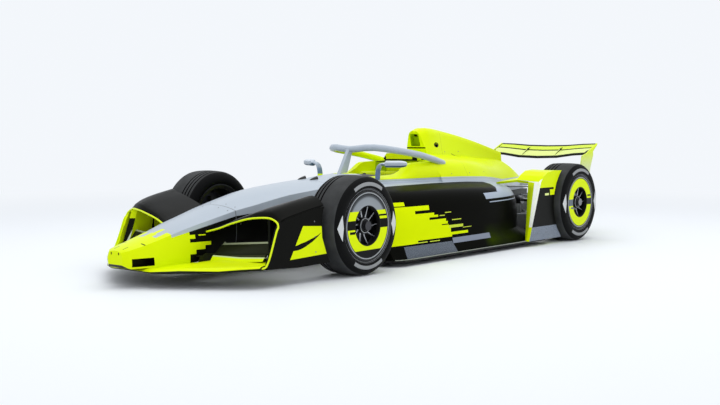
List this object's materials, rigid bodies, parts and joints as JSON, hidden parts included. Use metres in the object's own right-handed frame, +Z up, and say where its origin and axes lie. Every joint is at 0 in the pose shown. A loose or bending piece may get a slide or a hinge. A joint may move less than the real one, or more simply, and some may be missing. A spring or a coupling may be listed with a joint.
{
  "type": "open wheel racing car",
  "caption": "Single-seat open wheel racing car with halo, wheel fairings, low rear wing and steered front wheels that spin.",
  "frame": {"origin": "on the ground, at the centre of the car's box", "axes": "+X to the car's left, -Y towards the nose, +Z up"},
  "size_m": [1.792, 5.5401, 1.03],
  "materials": {
    "lime_paint": "gloss",
    "black_paint": "satin",
    "silver_paint": "gloss",
    "carbon": "satin",
    "dark_casing": "matt",
    "cast_casing": "satin",
    "upright_metal": "satin",
    "steel": "brushed",
    "board": "matt",
    "rubber": "matt",
    "pad": "soft",
    "grip": "matt",
    "tyre": "matt",
    "rim": "satin",
    "cover": "gloss"
  },
  "bodies": {
    "chassis": {"battery": "dark_casing", "diffuser": "carbon", "drive_unit": "cast_casing", "engine_cover": "lime_paint", "floor": "carbon", "front_fairing_left": "black_paint", "front_fairing_right": "black_paint", "front_suspension": "carbon", "front_wing": "lime_paint", "front_wing_flaps": "carbon", "halo": "silver_paint", "headrest": "pad", "mirrors": "silver_paint", "nose_cone": "lime_paint", "plank": "board", "rack_gaiters": "rubber", "rear_fairing_left": "black_paint", "rear_fairing_right": "black_paint", "rear_suspension": "carbon", "rear_uprights": "upright_metal", "rear_wing_endplates": "lime_paint", "rear_wing_flap": "lime_paint", "rear_wing_main": "lime_paint", "seat": "carbon", "sidepod_left": "black_paint", "sidepod_right": "black_paint", "steering_column": "steel", "survival_cell": "silver_paint", "tail_structure": "carbon"},
    "knuckle_left": {"knuckle_left": "upright_metal"},
    "knuckle_right": {"knuckle_right": "upright_metal"},
    "tie_rod_left": {"tie_rod_left": "steel"},
    "tie_rod_right": {"tie_rod_right": "steel"},
    "steering_wheel": {"steering_wheel": "grip"},
    "wheel_front_left": {"tyre_front_left": "tyre", "rim_front_left": "rim", "wheel_cover_front_left": "cover"},
    "wheel_front_right": {"tyre_front_right": "tyre", "rim_front_right": "rim", "wheel_cover_front_right": "cover"},
    "wheel_rear_left": {"tyre_rear_left": "tyre", "rim_rear_left": "rim", "wheel_cover_rear_left": "cover", "driveshaft_left": "steel"},
    "wheel_rear_right": {"tyre_rear_right": "tyre", "rim_rear_right": "rim", "wheel_cover_rear_right": "cover", "driveshaft_right": "steel"}
  },
  "joints": [
    {"name": "front_left_steer", "type": "hinge", "parent": "chassis", "child": "knuckle_left", "pos_m": [0.7, -1.32, 0.345], "axis": [0, 0, 1], "range_deg": [-16, 16]},
    {"name": "front_right_steer", "type": "hinge", "parent": "chassis", "child": "knuckle_right", "pos_m": [-0.7, -1.32, 0.345], "axis": [0, 0, 1], "range_deg": [-16, 16]},
    {"name": "tie_rod_left_turn", "type": "hinge", "parent": "knuckle_left", "child": "tie_rod_left", "pos_m": [0.696, -1.425, 0.355], "axis": [0, 0, 1], "range_deg": [-16, 16]},
    {"name": "tie_rod_right_turn", "type": "hinge", "parent": "knuckle_right", "child": "tie_rod_right", "pos_m": [-0.696, -1.425, 0.355], "axis": [0, 0, 1], "range_deg": [-16, 16]},
    {"name": "steering_wheel_turn", "type": "hinge", "parent": "chassis", "child": "steering_wheel", "pos_m": [0, -0.42, 0.585], "axis": [0, 0.9473, 0.3204], "range_deg": [-160, 160]},
    {"name": "wheel_front_left_spin", "type": "hinge", "parent": "knuckle_left", "child": "wheel_front_left", "pos_m": [0.7, -1.32, 0.345], "axis": [1, 0, 0], "continuous": true},
    {"name": "wheel_front_right_spin", "type": "hinge", "parent": "knuckle_right", "child": "wheel_front_right", "pos_m": [-0.7, -1.32, 0.345], "axis": [1, 0, 0], "continuous": true},
    {"name": "wheel_rear_left_spin", "type": "hinge", "parent": "chassis", "child": "wheel_rear_left", "pos_m": [0.74, 1.76, 0.355], "axis": [1, 0, 0], "continuous": true},
    {"name": "wheel_rear_right_spin", "type": "hinge", "parent": "chassis", "child": "wheel_rear_right", "pos_m": [-0.74, 1.76, 0.355], "axis": [1, 0, 0], "continuous": true}
  ],
  "couplings": [
    {"joint": "front_right_steer", "follows": "front_left_steer", "ratio": 1},
    {"joint": "tie_rod_left_turn", "follows": "front_left_steer", "ratio": -1},
    {"joint": "tie_rod_right_turn", "follows": "front_left_steer", "ratio": -1},
    {"joint": "steering_wheel_turn", "follows": "front_left_steer", "ratio": 10}
  ]
}
